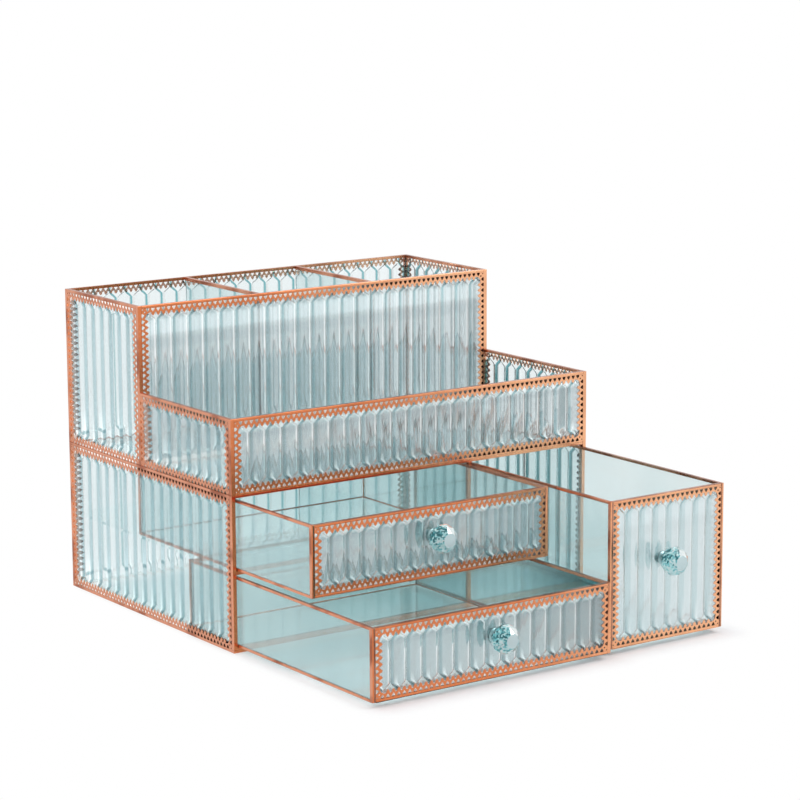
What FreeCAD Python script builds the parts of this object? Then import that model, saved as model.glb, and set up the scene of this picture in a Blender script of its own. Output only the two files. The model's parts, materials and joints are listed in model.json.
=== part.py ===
import FreeCAD, Part

import math
import os

import Sketcher
from FreeCAD import Placement, Rotation, Vector

# A glass vanity organiser: a cabinet with three drawers, an open tray on its front half and a
# taller three-part box on its back half.  Fluted panes sit between soldered metal rails and posts,
# and a toothed lace strip lies round each pane.
# Frame: origin at the centre of the footprint on the table, X to the right, Y to the back, Z up.

doc = FreeCAD.newDocument("vanity_organiser")

# ---------------------------------------------------------------------------------------------
# Driving sizes, in millimetres
# ---------------------------------------------------------------------------------------------
SIZES = (
    ("overall_width", 300.0),
    ("overall_depth", 222.5),
    ("cabinet_height", 107.3),
    ("tray_height", 51.5),
    ("box_height", 111.8),
    ("box_depth", 104.0),
    ("lace_gauge", 0.4),
    ("flute_rise", 1.3),
    ("pane_gauge", 1.2),
    ("rail_height", 2.6),
    ("glass_gauge", 2.0),
    ("deck_gauge", 2.4),
    ("floor_level", 3.8),
    ("came_leaf", 0.4),
    ("came_web", 0.6),
    ("came_depth", 2.5),
    ("wide_bay", 191.8),
    ("shelf_offset", 0.45),
    ("flute_pitch", 13.0),
    ("flute_land", 0.3),
    ("tip_length", 5.8),
    ("tip_margin", 3.9),
    ("lace_band", 2.2),
    ("tooth_depth", 2.8),
    ("lace_pitch", 4.2),
    ("side_clearance", 0.4),
    ("drawer_lift", 0.3),
    ("head_clearance", 0.5),
    ("back_clearance", 0.6),
    ("glass_inset", 0.2),
    ("upper_opening", 90.2),
    ("lower_opening", 157.1),
    ("tall_opening", 151.6),
    ("wide_knob_rise", 3.9),
    ("tall_knob_rise", 5.7),
    ("tall_knob_shift", 3.0),
    ("crystal_diameter", 20.0),
    ("crystal_depth", 16.0),
    ("flange_diameter", 9.4),
    ("flange_height", 0.8),
    ("neck_diameter", 7.4),
    ("neck_length", 0.6),
    ("cup_diameter", 9.6),
    ("cup_depth", 1.2),
    ("stud_diameter", 6.4),
    ("stud_length", 3.0),
    ("stud_clearance", 0.1),
    ("screw_diameter", 4.0),
    ("screw_clearance", 0.1),
    ("screw_reach", 4.2),
    ("head_diameter", 7.2),
    ("head_height", 2.0),
)
sheet = doc.addObject("Spreadsheet::Sheet", "sizes")
for row, (alias, value) in enumerate(SIZES, 1):
    sheet.set(f"A{row}", alias)
    sheet.set(f"B{row}", str(value))
    sheet.setAlias(f"B{row}", alias)
doc.recompute()


class Size:
    """A length that keeps its spreadsheet formula beside its present value."""

    def __init__(self, text, value):
        self.text = text
        self.value = value

    def __add__(self, other):
        other = as_size(other)
        return Size(f"({self.text} + {other.text})", self.value + other.value)

    def __sub__(self, other):
        other = as_size(other)
        return Size(f"({self.text} - {other.text})", self.value - other.value)

    def __mul__(self, other):
        other = as_size(other)
        return Size(f"({self.text} * {other.text})", self.value * other.value)

    def __truediv__(self, other):
        other = as_size(other)
        return Size(f"({self.text} / {other.text})", self.value / other.value)

    def __neg__(self):
        return Size(f"(0 - {self.text})", -self.value)

    def rounded(self):
        return Size(f"round({self.text})", float(math.floor(self.value + 0.5)))

    def floored(self):
        return Size(f"floor({self.text})", float(math.floor(self.value)))


def as_size(number):
    return number if isinstance(number, Size) else Size(str(number), float(number))


def size(alias):
    return Size(f"sizes.{alias}", float(sheet.get(alias)))


ZERO = as_size(0)

# ---------------------------------------------------------------------------------------------
# Levels and planes that the pieces share
# ---------------------------------------------------------------------------------------------
wall = size("lace_gauge") + size("flute_rise") + size("pane_gauge")
right = size("overall_width") / 2
left = -right
back = size("overall_depth") / 2
front = -back
box_front = back - size("box_depth")
rail = size("rail_height")
glass = size("glass_gauge")
came = glass + size("came_leaf") * 2
deck_top = size("cabinet_height")
deck_under = deck_top - size("deck_gauge")
tray_top = deck_top + size("tray_height")
box_top = deck_top + size("box_height")
floor_level = size("floor_level")
bay_height = deck_under - floor_level
shelf_level = floor_level + (bay_height - came) / 2 + size("shelf_offset")
partition_left = left + wall + size("wide_bay")
partition_middle = partition_left + came / 2
inner_width = size("overall_width") - wall * 2
inner_depth = size("overall_depth") - wall * 2
# A drawer's bars are as thick as its panes with the inset on both sides of them.
drawer_rail = glass + size("glass_inset") * 2


# ---------------------------------------------------------------------------------------------
# Building blocks
# ---------------------------------------------------------------------------------------------
def bind_base(obj, corner):
    """Bind the three coordinates of an object's place to the sheet."""
    for axis, coordinate in zip("xyz", corner):
        obj.setExpression(f"Placement.Base.{axis}", coordinate.text)


def block(name, corner, span):
    """Rectangular block from its low corner and its span."""
    solid = doc.addObject("Part::Box", name)
    for side, length in zip(("Length", "Width", "Height"), span):
        solid.setExpression(side, length.text)
    bind_base(solid, corner)
    return solid


def cut(name, base, tools):
    """One solid with one or more others taken out of it."""
    tool = tools[0]
    if len(tools) > 1:
        tool = doc.addObject("Part::MultiFuse", f"{name}_tools")
        tool.Shapes = tools
    result = doc.addObject("Part::Cut", name)
    result.Base = base
    result.Tool = tool
    return result


def group(name, solids):
    """Several separate solids that share one node."""
    result = doc.addObject("Part::Compound", name)
    result.Links = solids
    return result


def origin_feature(body, role):
    return next(feature for feature in body.Origin.OriginFeatures if feature.Role == role)


def new_sketch(body, name, role, offset=ZERO):
    """Sketch on one of the body's own origin planes, lifted by offset."""
    sketch = body.newObject("Sketcher::SketchObject", name)
    sketch.AttachmentSupport = [(origin_feature(body, role), "")]
    sketch.MapMode = "FlatFace"
    sketch.setExpression("AttachmentOffset.Base.z", offset.text)
    return sketch


def add_polygon(sketch, corners):
    """Closed outline whose corners are each bound to the sheet by two distances."""
    start = sketch.GeometryCount
    count = len(corners)
    places = [Vector(x.value, y.value, 0) for x, y in corners]
    for index in range(count):
        edge = Part.LineSegment(places[index], places[(index + 1) % count])
        sketch.addGeometry(edge, False)
    for index in range(count):
        following = start + (index + 1) % count
        sketch.addConstraint(Sketcher.Constraint("Coincident", start + index, 2, following, 1))
    for index, corner in enumerate(corners):
        for kind, distance in zip(("DistanceX", "DistanceY"), corner):
            constraint = Sketcher.Constraint(kind, -1, 1, start + index, 1, distance.value)
            number = sketch.addConstraint(constraint)
            sketch.setExpression(f"Constraints[{number}]", distance.text)


def add_rectangle(sketch, low, high):
    add_polygon(sketch, [(low[0], low[1]), (high[0], low[1]), (high[0], high[1]), (low[0], high[1])])


def add_circle(sketch, centre, radius):
    place = Vector(centre[0].value, centre[1].value, 0)
    circle = sketch.addGeometry(Part.Circle(place, Vector(0, 0, 1), radius.value), False)
    for kind, distance in zip(("DistanceX", "DistanceY"), centre):
        number = sketch.addConstraint(Sketcher.Constraint(kind, -1, 1, circle, 3, distance.value))
        sketch.setExpression(f"Constraints[{number}]", distance.text)
    number = sketch.addConstraint(Sketcher.Constraint("Radius", circle, radius.value))
    sketch.setExpression(f"Constraints[{number}]", radius.text)


def pad(body, name, sketch, length, backwards=False):
    feature = body.newObject("PartDesign::Pad", name)
    feature.Profile = sketch
    feature.setExpression("Length", length.text)
    feature.Reversed = backwards
    return feature


def row_of(body, name, features, role, pitch, count):
    """Linear pattern of features along one of the body's own axes."""
    pattern = body.newObject("PartDesign::LinearPattern", name)
    pattern.Originals = features
    pattern.Direction = (origin_feature(body, role), [""])
    pattern.setExpression("Length", (pitch * (count - 1)).text)
    pattern.setExpression("Occurrences", count.text)
    body.Tip = pattern
    return pattern


def turned(name, profile, place):
    """Solid of revolution about the local Y axis, which is laid along the cabinet's -Y."""
    body = doc.addObject("PartDesign::Body", name)
    sketch = new_sketch(body, f"{name}_profile", "XY_Plane")
    add_polygon(sketch, profile)
    revolution = body.newObject("PartDesign::Revolution", f"{name}_turned")
    revolution.Profile = sketch
    revolution.ReferenceAxis = (origin_feature(body, "Y_Axis"), [""])
    revolution.Angle = 360
    body.Placement = Placement(Vector(), Rotation(Vector(0, 0, 1), 180))
    bind_base(body, place)
    return body


# ---------------------------------------------------------------------------------------------
# Fluted panes and the lace round them
# ---------------------------------------------------------------------------------------------
class Panel:
    """One face of the organiser, drawn as if seen from the front.

    x runs along the face from its outer corner, y into the wall from its outer plane, z up from
    the foot of the opening.  The opening lies between the two borders, which posts cover.
    """

    def __init__(self, place, turn, face_width, height, low_border, high_border):
        self.place = place
        self.turn = turn
        self.face_width = face_width
        self.height = height
        self.low_edge = low_border
        self.high_edge = face_width - high_border

    def seat(self, body):
        body.Placement = Placement(Vector(), Rotation(Vector(0, 0, 1), self.turn))
        bind_base(body, self.place)


FLUTE_FACETS = ((0.0, 0.0), (0.25, 0.75), (0.5, 1.0), (0.75, 0.75), (1.0, 0.0))
pane_face = size("lace_gauge") + size("flute_rise")


def flute_section(body, name, level, start, width):
    """Section of one flute: facets that follow a shallow arc out from the sheet."""
    sketch = new_sketch(body, name, "XY_Plane", level)
    rise = size("flute_rise")
    add_polygon(sketch, [(start + width * along, pane_face - rise * out) for along, out in FLUTE_FACETS])
    return sketch


def flute_tip(body, name, section, level, middle):
    """The flute's end, which narrows from its section to a point on the sheet."""
    point = new_sketch(body, f"{name}_point", "XY_Plane", level)
    point.addGeometry(Part.Point(Vector(middle.value, pane_face.value, 0)), False)
    for kind, distance in (("DistanceX", middle), ("DistanceY", pane_face)):
        number = point.addConstraint(Sketcher.Constraint(kind, -1, 1, 0, 1, distance.value))
        point.setExpression(f"Constraints[{number}]", distance.text)
    doc.recompute()
    tip = body.newObject("PartDesign::AdditiveLoft", name)
    tip.Profile = (point, ["Vertex1"])
    tip.Sections = [section]
    tip.Ruled = True
    return tip


def fluted_pane(name, panel, hole=None):
    """Glass sheet with a row of pointed flutes that fills the opening.

    hole is the place of a screw hole in the face, as x and z.
    """
    body = doc.addObject("PartDesign::Body", name)
    outline = new_sketch(body, f"{name}_outline", "XY_Plane")
    add_rectangle(outline, (panel.low_edge, pane_face), (panel.high_edge, wall))
    pad(body, f"{name}_sheet", outline, panel.height)

    count = (panel.face_width / size("flute_pitch")).rounded()
    pitch = (panel.high_edge - panel.low_edge) / count
    start = panel.low_edge + size("flute_land") / 2
    width = pitch - size("flute_land")
    shoulder = size("tip_margin") + size("tip_length")
    low_section = flute_section(body, f"{name}_low_section", shoulder, start, width)
    high_section = flute_section(body, f"{name}_high_section", panel.height - shoulder, start, width)
    core = pad(body, f"{name}_flute", low_section, panel.height - shoulder * 2)
    doc.recompute()
    middle = panel.low_edge + pitch / 2
    margin = size("tip_margin")
    low_tip = flute_tip(body, f"{name}_low_tip", low_section, margin, middle)
    high_tip = flute_tip(body, f"{name}_high_tip", high_section, panel.height - margin, middle)
    doc.recompute()
    row_of(body, f"{name}_flutes", [core, low_tip, high_tip], "X_Axis", pitch, count)
    doc.recompute()

    if hole:
        drilling = new_sketch(body, f"{name}_drilling", "XZ_Plane")
        add_circle(drilling, hole, size("screw_diameter") / 2 + size("screw_clearance"))
        through(body, f"{name}_hole", drilling)
    panel.seat(body)
    return body


def through(body, name, sketch):
    """Pocket that passes right through the body both ways."""
    pocket = body.newObject("PartDesign::Pocket", name)
    pocket.Profile = sketch
    pocket.Type = "ThroughAll"
    pocket.Midplane = True
    doc.recompute()
    return pocket


def lace_strip(name, panel, toothed):
    """Thin metal frame round an opening, with a row of teeth along each inner edge."""
    body = doc.addObject("PartDesign::Body", name)
    band = size("lace_band")
    if not toothed:
        band = band + size("tooth_depth")
    low, high = panel.low_edge, panel.high_edge
    outline = new_sketch(body, f"{name}_outline", "XZ_Plane")
    add_rectangle(outline, (low, ZERO), (high, panel.height))
    add_rectangle(outline, (low + band, band), (high - band, panel.height - band))
    pad(body, f"{name}_band", outline, size("lace_gauge"), True)
    if toothed:
        for edge, role, run in (("foot", "X_Axis", high - low), ("post", "Z_Axis", panel.height)):
            pitch = size("lace_pitch")
            count = ((run - band * 2 - size("tooth_depth")) / pitch).floored()
            start = (run - pitch * count) / 2
            for side in ("low", "high"):
                tooth = new_sketch(body, f"{name}_{edge}_{side}_outline", "XZ_Plane")
                add_polygon(tooth, tooth_corners(panel, edge, side, start, pitch))
                feature = pad(body, f"{name}_{edge}_{side}_tooth", tooth, size("lace_gauge"), True)
                doc.recompute()
                row_of(body, f"{name}_{edge}_{side}_teeth", [feature], role, pitch, count)
    panel.seat(body)
    return body


def tooth_corners(panel, edge, side, start, pitch):
    """Three corners of the first tooth in one of the four rows."""
    band = size("lace_band")
    reach = band + size("tooth_depth")
    along = (start, start + pitch, start + pitch / 2)
    out = (band, band, reach)
    if edge == "foot":
        if side == "high":
            out = tuple(panel.height - depth for depth in out)
        return [(panel.low_edge + step, depth) for step, depth in zip(along, out)]
    if side == "low":
        return [(panel.low_edge + depth, step) for step, depth in zip(along, out)]
    return [(panel.high_edge - depth, step) for step, depth in zip(along, out)]


# ---------------------------------------------------------------------------------------------
# Cabinet: rails, posts and plain glass
# ---------------------------------------------------------------------------------------------
nodes = {}


def rails(name, level, height, front_level, front_height, first_y):
    """Four bars between the corner posts, in the plane of the walls."""
    depth = back - first_y - wall * 2
    return group(name, [
        block(f"{name}_front", (left + wall, first_y, front_level), (inner_width, wall, front_height)),
        block(f"{name}_back", (left + wall, back - wall, level), (inner_width, wall, height)),
        block(f"{name}_left", (left, first_y + wall, level), (wall, depth, height)),
        block(f"{name}_right", (right - wall, first_y + wall, level), (wall, depth, height)),
    ])


def post(name, x, y, foot, head):
    return block(name, (x, y, foot), (wall, wall, head - foot))


def came_strip(name, corner, span, slot_corner, slot_span):
    """Channel that wraps the edge of a plain pane."""
    return cut(name, block(f"{name}_bar", corner, span), [block(f"{name}_slot", slot_corner, slot_span)])


full_width = size("overall_width")
full_depth = size("overall_depth")
base_solid = doc.addObject("Part::MultiFuse", "base_solid")
base_solid.Shapes = [
    block("base_plate", (left, front, ZERO), (full_width, full_depth, rail)),
    block("front_sill", (left + wall, front, ZERO), (inner_width, wall, floor_level)),
]
nodes["base_frame"] = cut("base_frame", base_solid, [
    block("base_opening", (left + wall, front + wall, ZERO), (inner_width, inner_depth, rail)),
])
nodes["deck_rails"] = rails("deck_rails", deck_top - rail, rail, deck_under, size("deck_gauge"), front)
nodes["box_rails"] = rails("box_rails", box_top - rail, rail, box_top - rail, rail, box_front)
nodes["corner_posts"] = group("corner_posts", [
    post("front_left_post", left, front, rail, tray_top),
    post("front_right_post", right - wall, front, rail, tray_top),
    post("back_left_post", left, back - wall, rail, box_top),
    post("back_right_post", right - wall, back - wall, rail, box_top),
])
nodes["box_posts"] = group("box_posts", [
    post("box_left_post", left, box_front, deck_top, box_top),
    post("box_right_post", right - wall, box_front, deck_top, box_top),
])
tray_depth = box_front - front
nodes["tray_rails"] = group("tray_rails", [
    block("tray_rim_front", (left + wall, front, tray_top - rail), (inner_width, wall, rail)),
    block("tray_foot_front", (left + wall, front, deck_top), (inner_width, wall, rail)),
    block("tray_rim_left", (left, front + wall, tray_top - rail), (wall, tray_depth - wall, rail)),
    block("tray_rim_right", (right - wall, front + wall, tray_top - rail), (wall, tray_depth - wall, rail)),
])

nodes["cabinet_floor_glass"] = block(
    "cabinet_floor_glass",
    (left + wall, front + wall, floor_level - glass),
    (inner_width, inner_depth, glass),
)
nodes["deck_glass"] = block(
    "deck_glass", (left + wall, front + wall, deck_under), (inner_width, inner_depth, size("deck_gauge"))
)
leaf = size("came_leaf")
web = size("came_web")
channel = size("came_depth")
pane_front = front + web
pane_depth = back - wall - pane_front
nodes["bay_partition_glass"] = block(
    "bay_partition_glass",
    (partition_left + leaf, pane_front, floor_level),
    (glass, pane_depth, bay_height),
)
nodes["bay_shelf_glass"] = block(
    "bay_shelf_glass",
    (left + wall, pane_front, shelf_level + leaf),
    (size("wide_bay"), pane_depth, glass),
)
nodes["bay_edge_strips"] = group("bay_edge_strips", [
    came_strip(
        "partition_strip",
        (partition_left, front, floor_level),
        (came, channel, bay_height),
        (partition_left + leaf, pane_front, floor_level),
        (glass, channel, bay_height),
    ),
    came_strip(
        "shelf_strip",
        (left + wall, front, shelf_level),
        (size("wide_bay"), channel, came),
        (left + wall, pane_front, shelf_level + leaf),
        (size("wide_bay"), channel, glass),
    ),
])

second_divider = partition_middle
first_divider = (left + wall + second_divider) / 2
box_inner_depth = size("box_depth") - wall * 2
caps = []
for label, middle in (("left", first_divider), ("right", second_divider)):
    nodes[f"box_divider_{label}"] = block(
        f"box_divider_{label}",
        (middle - glass / 2, box_front + wall, deck_top),
        (glass, box_inner_depth, size("box_height") - web),
    )
    caps.append(came_strip(
        f"{label}_cap",
        (middle - came / 2, box_front + wall, box_top - channel),
        (came, box_inner_depth, channel),
        (middle - glass / 2, box_front + wall, box_top - channel),
        (glass, box_inner_depth, channel - web),
    ))
nodes["box_divider_caps"] = group("box_divider_caps", caps)

# ---------------------------------------------------------------------------------------------
# Cabinet: the fluted faces
# ---------------------------------------------------------------------------------------------
LEFT_TURN, RIGHT_TURN, BACK_TURN = -90, 90, 180
cabinet_opening = deck_top - rail * 2
upper_opening_height = size("box_height") - rail
tray_side_opening = size("tray_height") - rail
panels = {
    "cabinet_left": Panel((left, back, rail), LEFT_TURN, full_depth, cabinet_opening, wall, wall),
    "cabinet_right": Panel((right, front, rail), RIGHT_TURN, full_depth, cabinet_opening, wall, wall),
    "cabinet_back": Panel((right, back, rail), BACK_TURN, full_width, cabinet_opening, wall, wall),
    "tray_front": Panel(
        (left, front, deck_top + rail), 0, full_width, size("tray_height") - rail * 2, wall, wall
    ),
    "tray_left": Panel((left, box_front, deck_top), LEFT_TURN, tray_depth, tray_side_opening, ZERO, wall),
    "tray_right": Panel((right, front, deck_top), RIGHT_TURN, tray_depth, tray_side_opening, wall, ZERO),
    "box_left": Panel(
        (left, back, deck_top), LEFT_TURN, size("box_depth"), upper_opening_height, wall, wall
    ),
    "box_right": Panel(
        (right, box_front, deck_top), RIGHT_TURN, size("box_depth"), upper_opening_height, wall, wall
    ),
    "box_back": Panel((right, back, deck_top), BACK_TURN, full_width, upper_opening_height, wall, wall),
    "box_front": Panel((left, box_front, deck_top), 0, full_width, upper_opening_height, wall, wall),
}
laces = {}
for label, panel in panels.items():
    nodes[f"{label}_glass"] = fluted_pane(f"{label}_glass", panel)
    laces[label] = lace_strip(f"{label}_lace_strip", panel, label == "tray_front")
nodes["left_side_lace"] = group(
    "left_side_lace", [laces["cabinet_left"], laces["tray_left"], laces["box_left"]]
)
nodes["right_side_lace"] = group(
    "right_side_lace", [laces["cabinet_right"], laces["tray_right"], laces["box_right"]]
)
nodes["back_lace"] = group("back_lace", [laces["cabinet_back"], laces["box_back"]])
nodes["tray_front_lace"] = laces["tray_front"]
nodes["box_front_lace"] = laces["box_front"]


# ---------------------------------------------------------------------------------------------
# Drawers
# ---------------------------------------------------------------------------------------------
# Rings of a crystal's corners, from its back to its flat table: each has its share of the radius,
# its share of the depth, and whether it is turned by half a side.
CRYSTAL_SIDES = 10
CRYSTAL_RINGS = (
    (0.48, 0.0, 0),
    (0.84, 0.26, 1),
    (0.99, 0.48, 0),
    (1.0, 0.55, 0),
    (0.86, 0.80, 1),
    (0.50, 1.0, 0),
)


def crystal_solid(diameter, depth, socket_diameter, socket_depth):
    """Cut crystal: rings of corners joined by flat facets, with a round socket in its back."""
    sides = CRYSTAL_SIDES
    half_step = math.pi / sides
    loops = []
    for share, level, shifted in CRYSTAL_RINGS:
        radius = diameter / 2 * share
        angles = [half_step * (2 * index + shifted) for index in range(sides)]
        loops.append([Vector(radius * math.cos(a), -depth * level, radius * math.sin(a)) for a in angles])
    faces = [polygon_face(loops[0]), polygon_face(loops[-1])]
    for lower, upper, low_ring, high_ring in zip(loops, loops[1:], CRYSTAL_RINGS, CRYSTAL_RINGS[1:]):
        for index in range(sides):
            after = (index + 1) % sides
            a, b = lower[index], lower[after]
            c, d = upper[index], upper[after]
            if low_ring[2] == high_ring[2]:
                faces.append(polygon_face([a, b, d, c]))
            elif low_ring[2]:
                faces.append(polygon_face([a, b, d]))
                faces.append(polygon_face([a, d, c]))
            else:
                faces.append(polygon_face([a, b, c]))
                faces.append(polygon_face([b, d, c]))
    gem = Part.Solid(Part.Shell(faces))
    return gem.cut(Part.makeCylinder(socket_diameter / 2, socket_depth, Vector(), Vector(0, -1, 0)))


def polygon_face(corners):
    return Part.Face(Part.makePolygon(corners + corners[:1]))


def cage(name, place, span):
    """Twelve bars along the edges of a drawer; the front ones are as deep as the front pane."""
    x, y, z = place
    width, length, height = span
    edge = drawer_rail
    bars = []
    for end, near, depth in (("front", y, wall), ("back", y + length - edge, edge)):
        for side, low in (("left", x), ("right", x + width - edge)):
            bars.append(block(f"{name}_{end}_{side}_upright", (low, near, z), (edge, depth, height)))
        for side, low in (("foot", z), ("rim", z + height - edge)):
            corner = (x + edge, near, low)
            bars.append(block(f"{name}_{end}_{side}_bar", corner, (width - edge * 2, depth, edge)))
    for side, low in (("left", x), ("right", x + width - edge)):
        for level, foot in (("foot", z), ("rim", z + height - edge)):
            corner = (low, y + wall, foot)
            bars.append(block(f"{name}_{side}_{level}_bar", corner, (edge, length - wall - edge, edge)))
    return group(name, bars)


def drawer(label, place, width, height, knob_shift, knob_rise):
    """One drawer: a soldered cage of rails, plain panes, a fluted front and a crystal knob."""
    x, y, z = place
    edge = drawer_rail
    inset = size("glass_inset")
    length = full_depth - wall - size("back_clearance")
    inner_x, inner_y, inner_z = x + edge, y + wall, z + edge
    span_x = width - edge * 2
    span_y = length - wall - edge
    span_z = height - edge * 2
    nodes[f"{label}_frame"] = cage(f"{label}_frame", place, (width, length, height))
    panes = {
        "left_glass": ((x + inset, inner_y, inner_z), (glass, span_y, span_z)),
        "right_glass": ((x + width - inset - glass, inner_y, inner_z), (glass, span_y, span_z)),
        "back_glass": ((inner_x, y + length - inset - glass, inner_z), (span_x, glass, span_z)),
        "floor_glass": ((inner_x, inner_y, z + inset), (span_x, span_y, glass)),
    }
    for part, (corner, span) in panes.items():
        nodes[f"{label}_{part}"] = block(f"{label}_{part}", corner, span)

    knob_x = width / 2 + knob_shift
    knob_z = height / 2 + knob_rise
    panel = Panel((x, y, inner_z), 0, width, span_z, edge, edge)
    nodes[f"{label}_front_glass"] = fluted_pane(
        f"{label}_front_glass", panel, (knob_x, knob_z - edge)
    )
    nodes[f"{label}_front_lace"] = lace_strip(f"{label}_front_lace", panel, True)

    crest = y + size("lace_gauge")
    axis_x, axis_z = x + knob_x, z + knob_z
    flange = size("flange_height")
    cup_foot = flange + size("neck_length")
    cup_face = cup_foot + size("cup_depth")
    screw = size("screw_diameter") / 2
    bore = screw + size("screw_clearance")
    bore_end = size("screw_reach") + size("screw_clearance") * 2
    neck = size("neck_diameter") / 2
    stud = size("stud_diameter") / 2
    stud_face = cup_face + size("stud_length")
    nodes[f"{label}_knob_mount"] = turned(f"{label}_knob_mount", [
        (bore, ZERO),
        (size("flange_diameter") / 2, ZERO),
        (neck, flange),
        (neck, cup_foot),
        (size("cup_diameter") / 2, cup_face),
        (stud, cup_face),
        (stud, stud_face),
        (ZERO, stud_face),
        (ZERO, bore_end),
        (bore, bore_end),
    ], (axis_x, crest, axis_z))
    head = size("head_height")
    shank_end = head + wall - size("lace_gauge") + size("screw_reach")
    nodes[f"{label}_knob_screw"] = turned(f"{label}_knob_screw", [
        (ZERO, ZERO),
        (size("head_diameter") / 2, ZERO),
        (size("head_diameter") / 2, head),
        (screw, head),
        (screw, shank_end),
        (ZERO, shank_end),
    ], (axis_x, y + wall + head, axis_z))
    crystal = doc.addObject("Part::Feature", f"{label}_knob_crystal")
    play = sheet.stud_clearance
    socket = (sheet.stud_diameter + play * 2, sheet.stud_length + play)
    crystal.Shape = crystal_solid(sheet.crystal_diameter, sheet.crystal_depth, *socket)
    crystal.Placement = Placement(Vector(), Rotation())
    bind_base(crystal, (axis_x, crest - cup_face, axis_z))
    nodes[f"{label}_knob_crystal"] = crystal


gap = size("side_clearance")
lift = size("drawer_lift")
wide_width = size("wide_bay") - gap * 2
tall_left = partition_left + came + gap
tall_width = right - wall - gap - tall_left
upper_foot = shelf_level + came + lift
small_height = deck_under - size("head_clearance") - upper_foot
tall_height = deck_under - size("head_clearance") - floor_level - lift
drawer(
    "upper_drawer",
    (left + wall + gap, front - size("upper_opening"), upper_foot),
    wide_width, small_height, ZERO, size("wide_knob_rise"),
)
drawer(
    "lower_drawer",
    (left + wall + gap, front - size("lower_opening"), floor_level + lift),
    wide_width, small_height, ZERO, size("wide_knob_rise"),
)
drawer(
    "tall_drawer",
    (tall_left, front - size("tall_opening"), floor_level + lift),
    tall_width, tall_height, -size("tall_knob_shift"), size("tall_knob_rise"),
)

# ---------------------------------------------------------------------------------------------
# Check and write
# ---------------------------------------------------------------------------------------------
doc.recompute()
for item in doc.Objects:
    if {"Invalid", "Error"} & set(item.State):
        raise RuntimeError(f"{item.Label} did not build: {item.State}")
for node, item in nodes.items():
    item.Label = node
    if item.Shape.isNull() or not item.Shape.isValid():
        raise RuntimeError(f"{node} has no valid solid")
os.makedirs("parts", exist_ok=True)
for node, item in nodes.items():
    item.Shape.exportStep(os.path.join("parts", f"{node}.step"))
    solids = len(item.Shape.Solids)
    print(f"{node}: {solids} solid(s), {item.Shape.Volume / 1000:.2f} cm3")
print(f"{len(nodes)} nodes written")
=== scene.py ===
# %% [markdown]
# # A glass vanity organiser, finished for the camera
# The organiser is a soldered cage of rose-coloured metal that holds moulded glass panes.  Its pieces,
# sizes and sliding drawers come from a packed model that is loaded here as a fixed frame.  This lesson
# gives that frame its looks: fluted glass with pointed tips, pierced and toothed trim, worn plating
# and cut crystal knobs.  Each step first says what the real thing is and why it is made this way.

# %% Load the frame
import json
import math
from collections import namedtuple

import bmesh
import bpy
from mathutils import Matrix, Vector


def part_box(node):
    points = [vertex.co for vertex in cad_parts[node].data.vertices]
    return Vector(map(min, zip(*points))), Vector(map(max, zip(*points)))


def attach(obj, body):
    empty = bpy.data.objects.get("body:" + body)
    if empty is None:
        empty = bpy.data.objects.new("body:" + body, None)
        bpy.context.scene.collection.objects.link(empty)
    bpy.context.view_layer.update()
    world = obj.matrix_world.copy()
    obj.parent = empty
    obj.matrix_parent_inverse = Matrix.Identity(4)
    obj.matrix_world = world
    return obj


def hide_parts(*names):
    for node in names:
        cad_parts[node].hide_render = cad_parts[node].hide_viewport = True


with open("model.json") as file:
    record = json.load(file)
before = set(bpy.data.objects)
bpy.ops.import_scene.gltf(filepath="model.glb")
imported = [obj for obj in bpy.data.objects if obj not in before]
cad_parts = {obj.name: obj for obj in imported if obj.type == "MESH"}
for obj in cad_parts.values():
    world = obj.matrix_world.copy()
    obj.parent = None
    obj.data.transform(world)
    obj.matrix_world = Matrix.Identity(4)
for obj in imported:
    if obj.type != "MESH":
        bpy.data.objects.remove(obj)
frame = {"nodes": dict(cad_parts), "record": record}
nodes = frame["nodes"]
bodies = frame["record"]["behaviour"]["bodies"]
body_of_node = {node: body for body, members in bodies.items() for node in members}
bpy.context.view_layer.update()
MM = 0.001

# %% [markdown]
# ## Camera
# A long lens from the front left, a little above the object, keeps the perspective gentle, as a
# catalogue picture does.  The camera's axes are given as a direction and a small roll, and the
# lens as a focal length in picture points, which the sensor's width turns into millimetres.

# %% Place the camera
FRAME_SIDE = 800
FOCAL_PIXELS = 2741.7
SENSOR_WIDTH = 36.0
CLIP_END = 100.0
EYE = Vector((-1.0755, -1.61425, 0.5085))
LOOK = Vector((0.56667, 0.80223, -0.18788))
ROLL = math.radians(-0.286)

camera_data = bpy.data.cameras.new("studio_camera")
camera_data.sensor_width = SENSOR_WIDTH
camera_data.lens = FOCAL_PIXELS / FRAME_SIDE * SENSOR_WIDTH
camera_data.clip_end = CLIP_END
camera = bpy.data.objects.new("studio_camera", camera_data)
bpy.context.scene.collection.objects.link(camera)
facing = LOOK.to_track_quat("-Z", "Y").to_matrix()
camera.rotation_euler = (facing @ Matrix.Rotation(ROLL, 3, "Z")).to_euler()
camera.location = EYE
bpy.context.scene.camera = camera
print(f"lens {camera_data.lens:.1f} mm")

# %% [markdown]
# ## Shader sums
# Plating and tinted glass are described by sums on masks.  A small class wraps one output of a node,
# so a sum such as `1 - mask * 0.5` adds its own Math nodes, and every other node comes from `node`.
# `step` and `between` turn a coordinate into a mask with soft edges, and `blend` mixes two colours
# by a mask.

# %% A wire that does sums


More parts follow.
